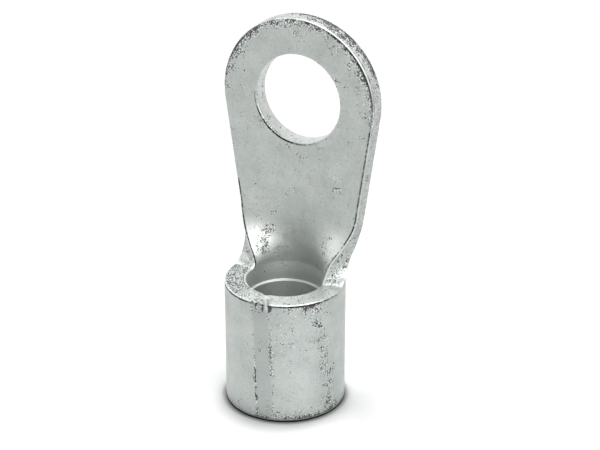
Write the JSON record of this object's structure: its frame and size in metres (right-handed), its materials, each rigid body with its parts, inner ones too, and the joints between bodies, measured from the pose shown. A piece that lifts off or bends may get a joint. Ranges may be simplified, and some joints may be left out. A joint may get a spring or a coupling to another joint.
{
  "type": "tin-plated copper ring cable lug",
  "caption": "Ring cable lug stamped from sheet: a flat tongue with a stud hole that necks down into a rolled, brazed barrel for the conductor.",
  "frame": {"origin": "centre of the barrel's mouth, on the plane that the lug stands on", "axes": "+Z along the barrel's axis towards the ring, +Y towards the tongue's contact face, -Y towards the barrel's seam"},
  "size_m": [0.015, 0.0111, 0.0364],
  "materials": {
    "tin_plating": "matt tin plating over copper"
  },
  "bodies": {
    "root": {"cable_lug": "tin_plating"}
  },
  "joints": []
}
